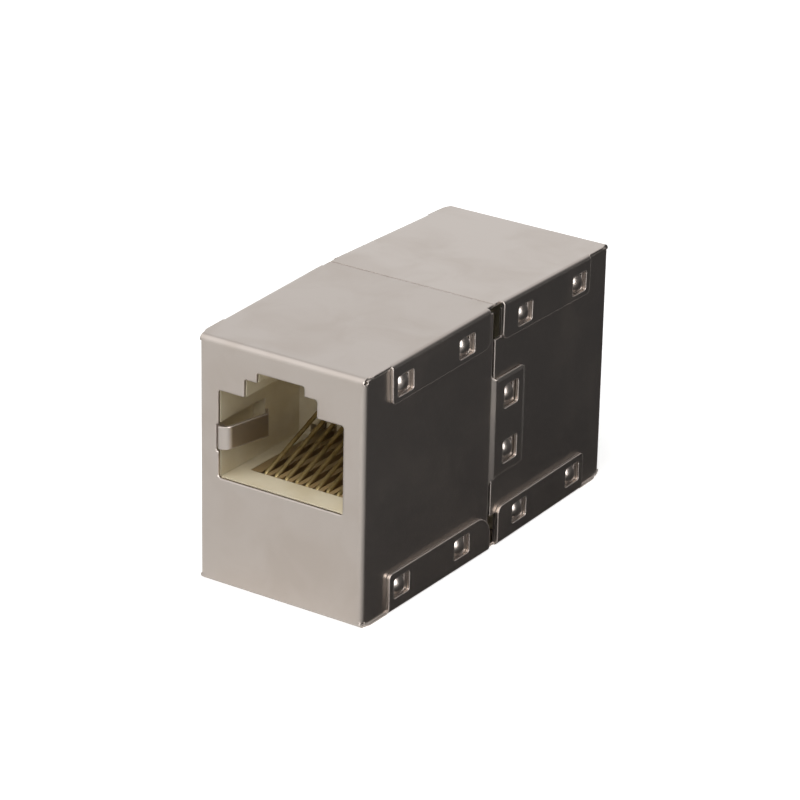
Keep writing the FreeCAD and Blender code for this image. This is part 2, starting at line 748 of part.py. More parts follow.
def shell(label):
    """One folded shell, complete with wings, flaps, lances, spring finger and tongue."""
    level, flare = as_size(0), size("top_flare")
    plain = (mouth - size("flap_back_plain"), size("flap_round_plain"))
    top = wing(label + "_top", flare, size("flap_drop"), [
        plain, (mouth - size("flap_back_tongue"), size("flap_round_tongue")),
    ])
    bottom = wing(label + "_bottom", level, size("flap_drop_low"), [
        (mouth, size("flap_round_tongue_low")), plain,
    ])
    place_wing(top, face_height - fold, 0, flare)
    place_wing(bottom, fold, 180, level)
    bumps, openings = lances(label)
    folded = group("MultiFuse", label + "_folded", [
        punched_walls(label), top, bottom, tongue(label + "_tongue"), bumps,
        finger(label + "_finger"),
    ])
    return cut(label, folded, openings)


# ---- plastic jack ----------------------------------------------------------------------------------

def jack_housing(label):
    """The moulding behind the opening: plug cavity, latch notch, finger recess and board chamber."""
    maker = Maker(label)
    play, margin = size("housing_play"), size("socket_play")
    front = gauge + size("housing_front")
    rear = front + size("housing_length")
    half = half_width - gauge - play
    low, high = gauge + play, face_height - gauge - play
    maker.pad("block", "XZ", front, size("housing_length"), box(-half, half, low, high))
    shoulder = size("latch_shoulder")
    maker.pocket("socket_mouth", "XZ", 0, shoulder, opening_outline(margin))
    wide = opening_half - margin
    floor, ceiling = size("opening_low") + margin, size("opening_high") - margin
    maker.pocket("plug_cavity", "XZ", front, size("socket_depth") - front,
                 box(-wide, wide, floor, ceiling))
    step = size("step_width") / 2 - margin
    maker.pocket("latch_room", "XZ", shoulder, size("latch_depth") - shoulder,
                 box(-step, step, ceiling - margin, size("notch_high") - margin))
    recess = opening_half + size("recess_depth")
    reach = size("recess_margin")
    maker.pocket("finger_recess", "XZ", 0, size("recess_length"),
                 box(-recess, 0, size("finger_low") - reach, size("finger_high") + reach))
    carrier_play = size("carrier_play")
    bay = size("carrier_width") / 2 + carrier_play
    bay_front = size("carrier_front") - carrier_play
    maker.pocket("carrier_bay", "XZ", bay_front, rear - bay_front,
                 box(-bay, bay, size("carrier_under") - carrier_play, size("comb_low")))
    tail_front = size("carrier_block") - carrier_play
    maker.pocket("tail_bay", "XZ", tail_front, rear - tail_front,
                 box(-bay, bay, board_top, size("carrier_under")))
    chamber = size("chamber_width") / 2
    ledge = chamber - size("chamber_ledge")
    back = size("chamber_front")
    maker.pocket("board_chamber", "XZ", back, rear - back,
                 box(-chamber, chamber, size("board_low"), size("chamber_high")))
    maker.pocket("under_board", "XZ", back, rear - back,
                 box(-ledge, ledge, low, size("board_low")))
    slot = size("comb_slot") / 2
    first = contact_x(0)
    comb = maker.pocket("comb_slot", "XZ", size("socket_depth"), size("comb_depth"),
                        box(first - slot, first + slot, size("comb_low"), size("comb_high")))
    maker.row("comb", comb, size("contact_pitch"), CONTACTS)
    return maker.body


def contact_carrier(label):
    """The insert that holds the wires: a slotted floor, a riser and a tail block on the board."""
    maker = Maker(label)
    half = size("carrier_width") / 2
    front, rear = size("carrier_front"), size("carrier_rear")
    under, floor = size("carrier_under"), size("carrier_floor")
    profile = rounded([
        (front, under), (size("carrier_block"), under), (size("carrier_block"), board_top),
        (rear, board_top), (rear, size("comb_low") - size("carrier_play")),
        (size("carrier_riser"), size("comb_low") - size("carrier_play")),
        (size("carrier_riser"), floor), (front, floor),
    ])
    maker.pad("side_profile", "YZ", -half, half * 2, profile)
    slot = size("comb_slot") / 2
    first = contact_x(0)
    top_slot = maker.pocket("top_slot", "XZ", size("carrier_nose"), size("carrier_riser")
                            - size("carrier_nose"),
                            box(first - slot, first + slot, size("slot_floor"), floor))
    maker.row("top_slots", top_slot, size("contact_pitch"), CONTACTS)
    nose_slot = maker.pocket("nose_slot", "XZ", front, size("carrier_nose") - front,
                             box(first - slot, first + slot, under, floor))
    maker.row("nose_slots", nose_slot, size("contact_pitch"), CONTACTS)
    groove = wire / 2 + size("groove_play")
    for index in (0, 1):
        start = size("carrier_nose")
        middle = contact_x(index)
        run = maker.pocket(f"groove_{index + 1}", "XZ", start, tail_y(index) + groove - start,
                           box(middle - groove, middle + groove, board_top, wire_run + groove))
        maker.row(f"grooves_{index + 1}", run, size("contact_pitch") * 2, CONTACTS // 2)
    return maker.body


def contact(label, index):
    """One wire: sprung leg, turn round the carrier's nose, run under its floor, and a tail."""
    maker = Maker(label)
    slope, bend, corner = size("wire_slope"), size("wire_bend"), size("wire_corner")
    x, front = contact_x(index), size("wire_front")
    tangent = (front - bend * sine(slope), wire_centre + bend * cosine(slope))
    tip = (tangent[0] + size("wire_free") * cosine(slope),
           tangent[1] + size("wire_free") * sine(slope))
    tail = tail_y(index)
    foot = size("board_low") - size("tail_below")
    route = [
        (tail, foot, None), (tail, wire_run - corner, (corner, CCW)),
        (tail - corner, wire_run, None), (front, wire_run, (bend, CW)),
        (tangent[0], tangent[1], None), (tip[0], tip[1], None),
    ]
    spine = maker.sketch("YZ", x)
    draw(spine, route, closed=False)
    section = maker.sketch("XY", foot)
    draw_circle(section, x, tail, wire / 2)
    pipe = maker.body.newObject("PartDesign::AdditivePipe", label + "_pipe")
    pipe.Profile = section
    pipe.Spine = (spine, [])
    return maker.body


def circuit_board(label):
    """The board that lies through both jacks, with two rows of holes for each jack's tails."""
    maker = Maker(label)
    half = size("board_width") / 2
    reach = half_length - size("board_end")
    board = size("board_low")
    maker.pad("laminate", "XY", board, size("board_thick"), box(-half, half, -reach, reach))
    hole = size("board_hole") / 2

    def holes(sketch):
        for end in (-1, 1):
            for index in range(CONTACTS):
                x = contact_x(index) * -end
                draw_circle(sketch, x, (half_length - tail_y(index)) * end, hole)

    maker.pocket("tail_holes", "XY", board, size("board_thick"), holes)
    return maker.body


# ---- assembly --------------------------------------------------------------------------------------

def put_half(part, end):
    """Move a piece from the half's frame to the front end (-1) or, turned round, the rear (+1)."""
    part.Placement = Placement(Vector(), Rotation(Vector(0, 0, 1), 0 if end < 0 else 180))
    bind(part, ".Placement.Base.y", half_length * end)


def build():
    parts = []
    for end, word in ((-1, "front"), (1, "rear")):
        half = [
            shell(f"{word}_shell"),
            jack_housing(f"{word}_jack_housing"),
            contact_carrier(f"{word}_contact_carrier"),
        ]
        for index in range(CONTACTS):
            half.append(contact(f"{word}_contact_{index + 1}", index))
        for part in half:
            put_half(part, end)
        parts += half
    parts.append(circuit_board("circuit_board"))
    return parts


def check(parts):
    """Stop if any object failed or any piece isn't one valid solid."""
    doc.recompute()
    for item in doc.Objects:
        if "Invalid" in item.State or "Error" in item.State:
            raise RuntimeError(f"{item.Name} failed: {item.State}")
    for part in parts:
        shape = part.Shape
        if shape.isNull() or not shape.isValid() or len(shape.Solids) != 1:
            raise RuntimeError(f"{part.Label} isn't one valid solid")


def export(parts):
    os.makedirs("parts", exist_ok=True)
    for part in parts:
        part.Shape.exportStep(f"parts/{part.Label}.step")
        bounds = part.Shape.BoundBox
        print(f"{part.Label}: {bounds.XLength:.2f} x {bounds.YLength:.2f} x {bounds.ZLength:.2f} mm,"
              f" {part.Shape.Volume:.1f} mm3")


pieces = build()
check(pieces)
export(pieces)
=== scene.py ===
"""Looks for the inline coupler: finishes for every CAD piece, a plain studio and the camera."""

from __future__ import annotations

import logging
import math
from dataclasses import dataclass
from enum import Enum

import bpy
import numpy as np
from mathutils import Matrix, Vector


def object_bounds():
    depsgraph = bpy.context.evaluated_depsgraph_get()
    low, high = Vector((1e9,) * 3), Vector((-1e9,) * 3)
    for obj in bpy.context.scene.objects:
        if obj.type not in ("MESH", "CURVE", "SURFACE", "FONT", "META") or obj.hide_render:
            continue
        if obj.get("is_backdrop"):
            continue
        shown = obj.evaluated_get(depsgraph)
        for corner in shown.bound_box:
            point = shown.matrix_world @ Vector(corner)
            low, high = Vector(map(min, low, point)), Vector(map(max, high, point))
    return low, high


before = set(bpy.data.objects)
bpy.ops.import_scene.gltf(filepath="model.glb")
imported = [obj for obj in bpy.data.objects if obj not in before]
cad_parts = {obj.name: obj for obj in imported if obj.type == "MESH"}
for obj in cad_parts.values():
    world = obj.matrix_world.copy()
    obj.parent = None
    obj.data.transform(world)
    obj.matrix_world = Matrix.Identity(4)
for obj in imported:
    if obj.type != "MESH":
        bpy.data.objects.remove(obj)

log = logging.getLogger("coupler")

Socket = bpy.types.NodeSocket
Span = tuple[float, float]
Point = tuple[float, float, float]

MM = 0.001
CONTACTS = 8  # wires in one socket


class End(Enum):
    """The two halves of the coupler, by the word that starts their pieces' names."""

    FRONT = "front"
    REAR = "rear"


class Reach(Enum):
    """What a lamp lights: dull surfaces alone, or reflections alone."""

    DULL = "dull"
    MIRRORED = "mirrored"


# ---- nodes ---------------------------------------------------------------------------------

def linear(colour: str) -> tuple[float, float, float, float]:
    """Turn an sRGB hex colour into linear light.

    Args:
        colour: Six hex digits after a hash sign.

    Returns:
        Red, green, blue and an alpha of 1.
    """
    channels = np.array([int(colour[place:place + 2], 16) for place in (1, 3, 5)]) / 255
    light = np.where(channels <= 0.04045, channels / 12.92, ((channels + 0.055) / 1.055) ** 2.4)
    return (*(float(value) for value in light), 1.0)


def feed(tree: bpy.types.NodeTree, target: bpy.types.Node,
         inputs: dict[str | int, object]) -> None:
    """Fill inputs of a node with links, colours or values.

    Args:
        tree: The node tree that the node is in.
        target: The node.
        inputs: Input name or number to the output that feeds it, an sRGB hex colour or a value.
    """
    for place, source in inputs.items():
        if isinstance(source, Socket):
            tree.links.new(source, target.inputs[place])
        elif isinstance(source, str):
            target.inputs[place].default_value = linear(source)
        else:
            target.inputs[place].default_value = source


def node(tree: bpy.types.NodeTree, kind: str, inputs: dict[str | int, object] | None = None,
         **settings: object) -> bpy.types.Node:
    """Add a node with its settings and its inputs.

    Args:
        tree: The node tree that the node joins.
        kind: Blender's type name of the node.
        inputs: Input name or number to the output that feeds it, an sRGB hex colour or a value.
        settings: The node's own properties.

    Returns:
        The new node.
    """
    made = tree.nodes.new(kind)
    for name, setting in settings.items():
        setattr(made, name, setting)
    feed(tree, made, inputs or {})
    return made


# ---- finishes ------------------------------------------------------------------------------

GRAIN_DEPTH_MM = 0.01
GRAIN_DETAIL = 2.0


def fresh(name: str) -> tuple[bpy.types.Material, bpy.types.NodeTree, bpy.types.Node, Socket]:
    """Start a material with a Principled shader and the object's own coordinates.

    Args:
        name: The material's name.

    Returns:
        The material, its tree, the shader and the coordinate output.
    """
    material = bpy.data.materials.new(name)
    material.use_nodes = True
    tree = material.node_tree
    shader = next(item for item in tree.nodes if item.type == "BSDF_PRINCIPLED")
    place = node(tree, "ShaderNodeTexCoord").outputs["Object"]
    return material, tree, shader, place


def cloud(tree: bpy.types.NodeTree, place: Socket, size_mm: float, detail: float,
          distortion: float = 0.0, stretch: Point = (1, 1, 1), turn_deg: float = 0.0) -> Socket:
    """Noise whose features are about size_mm across, in the object's own millimetres.

    Args:
        tree: The node tree.
        place: Object coordinates, in metres.
        size_mm: Size of one feature.
        detail: Number of finer octaves.
        distortion: How far the noise is pulled about.
        stretch: How many times longer a feature is along X, Y and Z.
        turn_deg: Turn of the noise's cells about Z, after the stretch, which stays along X, Y
            and Z. It keeps stretched features from ending in rows.

    Returns:
        The noise value, mostly between 0.3 and 0.7.
    """
    scale = tuple(1 / (size_mm * MM * along) for along in stretch)
    turn = (0, 0, math.radians(turn_deg))
    moved = node(tree, "ShaderNodeMapping", {"Vector": place, "Rotation": turn, "Scale": scale})
    noise = node(tree, "ShaderNodeTexNoise", {"Vector": moved.outputs["Vector"], "Scale": 1.0,
                                              "Detail": detail, "Distortion": distortion})
    return noise.outputs[0]


def grain(tree: bpy.types.NodeTree, place: Socket, size_mm: float, strength: float,
          edge: bpy.types.Node) -> Socket:
    """Raise a fine grain on a surface whose edges are rounded.

    Args:
        tree: The node tree.
        place: Object coordinates, in metres.
        size_mm: Size of one grain.
        strength: How much of the grain's depth shows, from 0 to 1.
        edge: The Bevel node that rounds the edges.

    Returns:
        The normal of the grained surface.
    """
    height = cloud(tree, place, size_mm, GRAIN_DETAIL)
    return node(tree, "ShaderNodeBump", {"Height": height, "Normal": edge.outputs["Normal"],
                                         "Strength": strength,
                                         "Distance": GRAIN_DEPTH_MM * MM}).outputs["Normal"]


@dataclass(frozen=True)
class NickelPlatedSheet:
    """Cold-rolled steel sheet, electroplated with satin nickel, then punched and folded.

    The plating gives a soft warm sheen. Its grain is finer than it is drawn here, where it is
    just coarse enough to show. Handling leaves faint cloudy marks, and sliding about leaves
    hair-thin scratches across the coupler. The cut edges are rounded just enough to catch the
    light, and duller than the rest. Round the socket opening, which was punched from outside,
    the outer edge is drawn in and polished by the punch, and the inner edge is left sharp.

    Depths are measured inwards from the socket faces, which lie socket_face_m from the middle.
    """

    socket_face_m: float
    metal: str = "#BBB2AB"
    cloudy: str = "#B6ACA4"
    clean_roughness: float = 0.28
    cloudy_roughness: float = 0.33
    cloud_mm: float = 5.0
    cloud_detail: float = 5.0
    cloud_distortion: float = 0.6
    cloud_band: Span = (0.42, 0.68)
    grain_mm: float = 0.16
    grain_strength: float = 0.12
    edge_mm: float = 0.17
    sharp_edge_mm: float = 0.01
    punched_edge_mm: float = 0.34
    punched_depths_mm: Span = (0.02, 0.19)
    sharp_depths_mm: Span = (0.28, 0.34)
    edge_samples: int = 8
    edge_band: Span = (0.99, 0.85)
    edge_roughness: float = 0.30
    punched_roughness: float = 0.02
    scratch_long_mm: float = 5.0
    scratch_wide_mm: float = 0.07
    scratch_turn_deg: float = 24.0
    scratch_detail: float = 1.0
    scratch_band: Span = (0.70, 0.76)
    scratch_roughness: float = 0.12

    def depth(self, tree: bpy.types.NodeTree, place: Socket) -> Socket:
        """Give the depth behind the nearer socket face: half the coupler's length less |y|.

        Args:
            tree: The node tree.
            place: Object coordinates, in metres.

        Returns:
            The depth, in metres.
        """
        apart = node(tree, "ShaderNodeSeparateXYZ", {"Vector": place})
        outwards = node(tree, "ShaderNodeMath", {0: apart.outputs["Y"]}, operation="ABSOLUTE")
        return node(tree, "ShaderNodeMath", {0: self.socket_face_m, 1: outwards.outputs[0]},
                    operation="SUBTRACT").outputs[0]

    def rounding(self, tree: bpy.types.NodeTree, depth: Socket) -> bpy.types.Node:
        """Round the edges: widely in the socket faces, hardly at their back, and else a little.

        Args:
            tree: The node tree.
            depth: Depth behind the nearer socket face, in metres.

        Returns:
            The Bevel node.
        """
        outer, inner = self.punched_depths_mm
        punched = node(tree, "ShaderNodeMapRange", {
            "Value": depth, "From Min": outer * MM, "From Max": inner * MM,
            "To Min": self.punched_edge_mm * MM, "To Max": self.sharp_edge_mm * MM})
        outer, inner = self.sharp_depths_mm
        plain = node(tree, "ShaderNodeMapRange", {
            "Value": depth, "From Min": outer * MM, "From Max": inner * MM,
            "To Min": self.sharp_edge_mm * MM, "To Max": self.edge_mm * MM})
        radius = node(tree, "ShaderNodeMath", {0: plain.outputs[0], 1: punched.outputs[0]},
                      operation="MAXIMUM")
        return node(tree, "ShaderNodeBevel", {"Radius": radius.outputs[0]},
                    samples=self.edge_samples)

    def burr(self, tree: bpy.types.NodeTree, depth: Socket, edge: bpy.types.Node) -> Socket:
        """Give the roughness that cut edges add to the sheet's.

        It rises where the rounded normal leaves the flat one, by the cosine of the angle
        between them, and is less where the punch polished the socket opening.

        Args:
            tree: The node tree.
            depth: Depth behind the nearer socket face, in metres.
            edge: The Bevel node that rounds the edges.

        Returns:
            The added roughness.
        """
        flat = node(tree, "ShaderNodeNewGeometry").outputs["Normal"]
        cosine = node(tree, "ShaderNodeVectorMath", {0: edge.outputs["Normal"], 1: flat},
                      operation="DOT_PRODUCT").outputs["Value"]
        outer, inner = self.punched_depths_mm
        sheared = node(tree, "ShaderNodeMapRange", {
            "Value": depth, "From Min": outer * MM, "From Max": inner * MM,
            "To Min": self.punched_roughness, "To Max": self.edge_roughness})
        level, turned = self.edge_band
        torn = node(tree, "ShaderNodeMapRange", {"Value": cosine, "From Min": level,
                                                 "From Max": turned})
        return node(tree, "ShaderNodeMath", {0: torn.outputs[0], 1: sheared.outputs[0]},
                    operation="MULTIPLY").outputs[0]

    def scratches(self, tree: bpy.types.NodeTree, place: Socket) -> Socket:
        """Draw a few long thin lines along X.

        Args:
            tree: The node tree.
            place: Object coordinates, in metres.

        Returns:
            1 on the lines and 0 elsewhere.
        """
        stretch = (self.scratch_long_mm / self.scratch_wide_mm, 1, 1)
        noise = cloud(tree, place, self.scratch_wide_mm, self.scratch_detail, stretch=stretch,
                      turn_deg=self.scratch_turn_deg)
        faint, full = self.scratch_band
        return node(tree, "ShaderNodeMapRange", {"Value": noise, "From Min": faint,
                                                 "From Max": full}).outputs[0]

    def material(self) -> bpy.types.Material:
        """Build the material of the shells.

        Returns:
            The material.
        """
        material, tree, shader, place = fresh("satin_nickel_plated_steel")
        noise = cloud(tree, place, self.cloud_mm, self.cloud_detail, self.cloud_distortion)
        clean, cloudy = self.cloud_band
        marks = node(tree, "ShaderNodeMapRange", {"Value": noise, "From Min": clean,
                                                  "From Max": cloudy}).outputs[0]
        colour = node(tree, "ShaderNodeMix", {"Factor": marks, "A": self.metal, "B": self.cloudy},
                      data_type="RGBA")
        rough = node(tree, "ShaderNodeMapRange", {"Value": marks, "To Min": self.clean_roughness,
                                                  "To Max": self.cloudy_roughness})
        depth = self.depth(tree, place)
        edge = self.rounding(tree, depth)
        dull = node(tree, "ShaderNodeMath", {0: rough.outputs[0], 1: self.burr(tree, depth, edge)},
                    operation="ADD")
        scored = node(tree, "ShaderNodeMath", {0: self.scratches(tree, place),
                                               1: self.scratch_roughness, 2: dull.outputs[0]},
                      operation="MULTIPLY_ADD")
        feed(tree, shader, {"Base Color": colour.outputs["Result"], "Metallic": 1.0,
                            "Roughness": scored.outputs[0],
                            "Normal": grain(tree, place, self.grain_mm, self.grain_strength, edge)})
        return material


@dataclass(frozen=True)
class MouldedPolyester:
    """Glass-filled PBT, injection-moulded: a plastic with a dull, even skin, cream by default.

    Its flow in the mould leaves soft patches of a slightly darker shade. The skin's texture is
    finer than it is drawn here, where it is just coarse enough to show.
    """

    name: str = "moulded_ivory_pbt"
    body: str = "#DCD2BA"
    shade: str = "#D1C5A9"
    roughness: float = 0.42
    ior: float = 1.55
    flow_mm: float = 3.0
    flow_detail: float = 3.0
    flow_band: Span = (0.35, 0.65)
    skin_mm: float = 0.12
    skin_strength: float = 0.15
    edge_mm: float = 0.08
    edge_samples: int = 4

    def material(self) -> bpy.types.Material:
        """Build the material of the jack housings or of the contact carriers.

        Returns:
            The material.
        """
        material, tree, shader, place = fresh(self.name)
        noise = cloud(tree, place, self.flow_mm, self.flow_detail)
        even, patchy = self.flow_band
        flow = node(tree, "ShaderNodeMapRange", {"Value": noise, "From Min": even,
                                                 "From Max": patchy})
        colour = node(tree, "ShaderNodeMix", {"Factor": flow.outputs[0], "A": self.body,
                                              "B": self.shade}, data_type="RGBA")
        edge = node(tree, "ShaderNodeBevel", {"Radius": self.edge_mm * MM},
                    samples=self.edge_samples)
        feed(tree, shader, {"Base Color": colour.outputs["Result"], "Roughness": self.roughness,
                            "IOR": self.ior,
                            "Normal": grain(tree, place, self.skin_mm, self.skin_strength, edge)})
        return material


@dataclass(frozen=True)
class GoldFlashedWire:
    """Drawn phosphor bronze wire with a thin gold flash: satin, with fine marks along it.

    The marks are patches where the flash is thin and the duller bronze shows through.
    """

    gold: str = "#B4A377"
    bronze: str = "#8C784E"
    gold_roughness: float = 0.50
    bronze_roughness: float = 0.62
    mark_mm: float = 0.5
    mark_stretch: Point = (1, 6, 1)
    mark_detail: float = 3.0
    mark_band: Span = (0.45, 0.7)

    def material(self) -> bpy.types.Material:
        """Build the material of the contact wires.

        Returns:
            The material.
        """
        material, tree, shader, place = fresh("gold_flashed_bronze_wire")
        noise = cloud(tree, place, self.mark_mm, self.mark_detail, stretch=self.mark_stretch)
        thick, thin = self.mark_band
        worn = node(tree, "ShaderNodeMapRange", {"Value": noise, "From Min": thick,
                                                 "From Max": thin}).outputs[0]
        colour = node(tree, "ShaderNodeMix", {"Factor": worn, "A": self.gold, "B": self.bronze},
                      data_type="RGBA")
        rough = node(tree, "ShaderNodeMapRange", {"Value": worn, "To Min": self.gold_roughness,
                                                  "To Max": self.bronze_roughness})
        feed(tree, shader, {"Base Color": colour.outputs["Result"], "Metallic": 1.0,
                            "Roughness": rough.outputs[0]})
        return material


@dataclass(frozen=True)
class GlassEpoxyBoard:
    """Woven glass and epoxy under a dark green lacquer: a faint weave shows through the gloss."""

    lacquer: str = "#24452B"
    weave: str = "#2F5535"
    roughness: float = 0.35
    thread_mm: float = 0.5

    def material(self) -> bpy.types.Material:
        """Build the material of the circuit board.

        The weave is the sine of x times the sine of y, with half a wave to a thread.

        Returns:
            The material.
        """
        material, tree, shader, place = fresh("lacquered_glass_epoxy")
        scale = math.pi / (self.thread_mm * MM)
        moved = node(tree, "ShaderNodeMapping", {"Vector": place, "Scale": (scale, scale, scale)})
        apart = node(tree, "ShaderNodeSeparateXYZ", {"Vector": moved.outputs["Vector"]})
        waves = [node(tree, "ShaderNodeMath", {0: apart.outputs[axis]}, operation="SINE")
                 for axis in ("X", "Y")]
        woven = node(tree, "ShaderNodeMath", {0: waves[0].outputs[0], 1: waves[1].outputs[0]},
                     operation="MULTIPLY")
        cloth = node(tree, "ShaderNodeMapRange", {"Value": woven.outputs[0], "From Min": -1.0})
        colour = node(tree, "ShaderNodeMix", {"Factor": cloth.outputs[0], "A": self.lacquer,
                                              "B": self.weave}, data_type="RGBA")
        feed(tree, shader, {"Base Color": colour.outputs["Result"], "Roughness": self.roughness})
        return material


# ---- sub-assemblies ------------------------------------------------------------------------

def dress(name: str, material: bpy.types.Material) -> None:
    """Give a CAD piece its finish and report it.

    Args:
        name: The piece's name.
        material: Its material.
    """
    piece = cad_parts[name]
    piece.data.materials.clear()
    piece.data.materials.append(material)
    log.info("%s: %s", name, material.name)


@dataclass
class CouplerHalf:
    """One half: the folded shell, and the moulded jack with its carrier and wires inside."""

    end: End
    sheet: bpy.types.Material
    housing: bpy.types.Material
    carrier: bpy.types.Material
    wire: bpy.types.Material

    def finish(self) -> None:
        """Dress every piece of this half."""
        word = self.end.value
        dress(f"{word}_shell", self.sheet)
        dress(f"{word}_jack_housing", self.housing)
        dress(f"{word}_contact_carrier", self.carrier)
        for index in range(CONTACTS):
            dress(f"{word}_contact_{index + 1}", self.wire)


@dataclass
class CircuitBoard:
    """The board that carries both jacks."""

    laminate: bpy.types.Material

    def finish(self) -> None:
        """Dress the board."""
        dress("circuit_board", self.laminate)


# ---- studio --------------------------------------------------------------------------------

PAPER_ROUGHNESS = 0.9


def matt(name: str, colour: str) -> tuple[bpy.types.Material, bpy.types.NodeTree,
                                          bpy.types.Node, Socket]:
    """Start a paper material: one colour, without gloss.

    Args:
        name: The material's name.
        colour: Its sRGB hex colour.

    Returns:
        The material, its tree, the shader and the coordinate output.
    """
    material, tree, shader, place = fresh(name)
    feed(tree, shader, {"Base Color": colour, "Roughness": PAPER_ROUGHNESS,
                        "Specular IOR Level": 0.0})
    return material, tree, shader, place


def grid(name: str, width: float, depth: float, centre: Point,
         material: bpy.types.Material) -> bpy.types.Object:
    """Make a level rectangle from a grid of two by two points.

    Args:
        name: The object's name.
        width: Size along X, in metres.
        depth: Size along Y, in metres.
        centre: Its middle, in metres.
        material: Its material.

    Returns:
        The new object.
    """
    u, v = np.meshgrid((-0.5, 0.5), (-0.5, 0.5))
    points = np.column_stack([centre[0] + u.ravel() * width, centre[1] + v.ravel() * depth,
                              np.full(u.size, centre[2])])
    mesh = bpy.data.meshes.new(name)
    mesh.from_pydata(points, [], [(0, 1, 3, 2)])
    mesh.materials.append(material)
    made = bpy.data.objects.new(name, mesh)
    bpy.context.scene.collection.objects.link(made)
    return made


@dataclass(frozen=True)
class PaperFloor:
    """Pale paper, lifted to white for the camera and less far for what mirrors it."""

    floor_m: float = 6.0
    floor_colour: str = "#D8D8D6"
    lift: float = 0.75
    mirrored_lift: float = 0.31

    def white_share(self, tree: bpy.types.NodeTree) -> Socket:
        """Give how much light the floor adds of its own: most for the camera.

        Args:
            tree: The node tree.

        Returns:
            The strength of the floor's glow.
        """
        path = node(tree, "ShaderNodeLightPath")
        mirrored = node(tree, "ShaderNodeMath", {0: path.outputs["Is Glossy Ray"],
                                                 1: path.outputs["Is Transmission Ray"]},
                        operation="MAXIMUM")
        faint = node(tree, "ShaderNodeMath", {0: mirrored.outputs[0], 1: self.mirrored_lift},
                     operation="MULTIPLY")
        full = node(tree, "ShaderNodeMath", {0: path.outputs["Is Camera Ray"], 1: self.lift},
                    operation="MULTIPLY")
        return node(tree, "ShaderNodeMath", {0: full.outputs[0], 1: faint.outputs[0]},
                    operation="MAXIMUM").outputs[0]

    def lay(self) -> None:
        """Lay the floor under the coupler."""
        material, tree, shader, _ = matt("pale_paper", self.floor_colour)
        feed(tree, shader, {"Emission Color": "#FFFFFF",
                            "Emission Strength": self.white_share(tree)})
        grid("floor", self.floor_m, self.floor_m, (0, 0, 0), material)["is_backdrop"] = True


@dataclass(frozen=True)
class DarkCard:
    """A dark card that lies beside the right-hand wall and is seen only in reflections.

    It fades out round the front corner. With the way to the right as along and the way back as
    across, both measured from near that corner, its alpha rises with across over along.
    """

    card_colour: str = "#49494A"
    width_m: float = 0.5
    depth_m: float = 0.6
    ahead_mm: float = 120.0
    under_mm: float = 0.3
    height_mm: float = 0.05
    corner_inset_mm: float = 1.0
    fade_slopes: Span = (-1.5, 0.8)

    def fade(self, tree: bpy.types.NodeTree, place: Socket, right: float, front: float) -> Socket:
        """Give the card's alpha, from the slope across over along.

        Args:
            tree: The node tree.
            place: Object coordinates, in metres.
            right: The coupler's highest X, in metres.
            front: The coupler's lowest Y, in metres.

        Returns:
            The alpha.
        """
        apart = node(tree, "ShaderNodeSeparateXYZ", {"Vector": place})
        along = node(tree, "ShaderNodeMath", {0: apart.outputs["X"],
                                              1: right - self.corner_inset_mm * MM},
                     operation="SUBTRACT")
        across = node(tree, "ShaderNodeMath", {0: apart.outputs["Y"], 1: front},
                      operation="SUBTRACT")
        slope = node(tree, "ShaderNodeMath", {0: across.outputs[0], 1: along.outputs[0]},
                     operation="DIVIDE")
        clear, solid = self.fade_slopes
        return node(tree, "ShaderNodeMapRange", {"Value": slope.outputs[0], "From Min": clear,
                                                 "From Max": solid}).outputs[0]

    def lay(self) -> None:
        """Lay the card just over the floor, from just inside the wall outwards."""
        low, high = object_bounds()
        right, front = float(high[0]), float(low[1])
        material, tree, shader, place = matt("dark_card", self.card_colour)
        feed(tree, shader, {"Alpha": self.fade(tree, place, right, front)})
        near, ahead = right - self.under_mm * MM, self.ahead_mm * MM
        centre = (near + self.width_m / 2, front + (self.depth_m - ahead) / 2,
                  self.height_mm * MM)
        made = grid("reflection_card", self.width_m, self.depth_m + ahead, centre, material)
        made.visible_camera = False
        made.visible_diffuse = False
        made.visible_transmission = False
        made.visible_shadow = False
        made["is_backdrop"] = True


@dataclass(frozen=True)
class Room:
    """Even white light all round, with a dark part on the right for metal to mirror.

    The bands are parts of the direction looked in, from -1 to 1: its share to the right, and
    its share upwards. The light falls off a little from the horizon to overhead.
    """

    bright: str = "#FFFFFF"
    dark: str = "#4A4A4B"
    rightward_band: Span = (-0.05, 0.35)
    upward_band: Span = (0.5, 0.8)
    glow_band: Span = (0.25, 0.55)
    glow: Span = (1.12, 0.88)
    dull_share: float = 0.18

    def tint(self, tree: bpy.types.NodeTree, way: bpy.types.Node, path: bpy.types.Node) -> Socket:
        """Give the room's colour: dark to the right below head height, but not for the camera.

        Args:
            tree: The world's node tree.
            way: The node that splits the direction looked in.
            path: The Light Path node.

        Returns:
            The colour.
        """
        start, end = self.rightward_band
        right = node(tree, "ShaderNodeMapRange", {"Value": way.outputs["X"], "From Min": start,
                                                  "From Max": end})
        start, end = self.upward_band
        low = node(tree, "ShaderNodeMapRange", {"Value": way.outputs["Z"], "From Min": start,
                                                "From Max": end, "To Min": 1.0, "To Max": 0.0})
        shaded = node(tree, "ShaderNodeMath", {0: right.outputs[0], 1: low.outputs[0]},
                      operation="MULTIPLY")
        hidden = node(tree, "ShaderNodeMath", {0: 1.0, 1: path.outputs["Is Camera Ray"]},
                      operation="SUBTRACT")
        share = node(tree, "ShaderNodeMath", {0: shaded.outputs[0], 1: hidden.outputs[0]},
                     operation="MULTIPLY")
        return node(tree, "ShaderNodeMix", {"Factor": share.outputs[0], "A": self.bright,
                                            "B": self.dark}, data_type="RGBA").outputs["Result"]

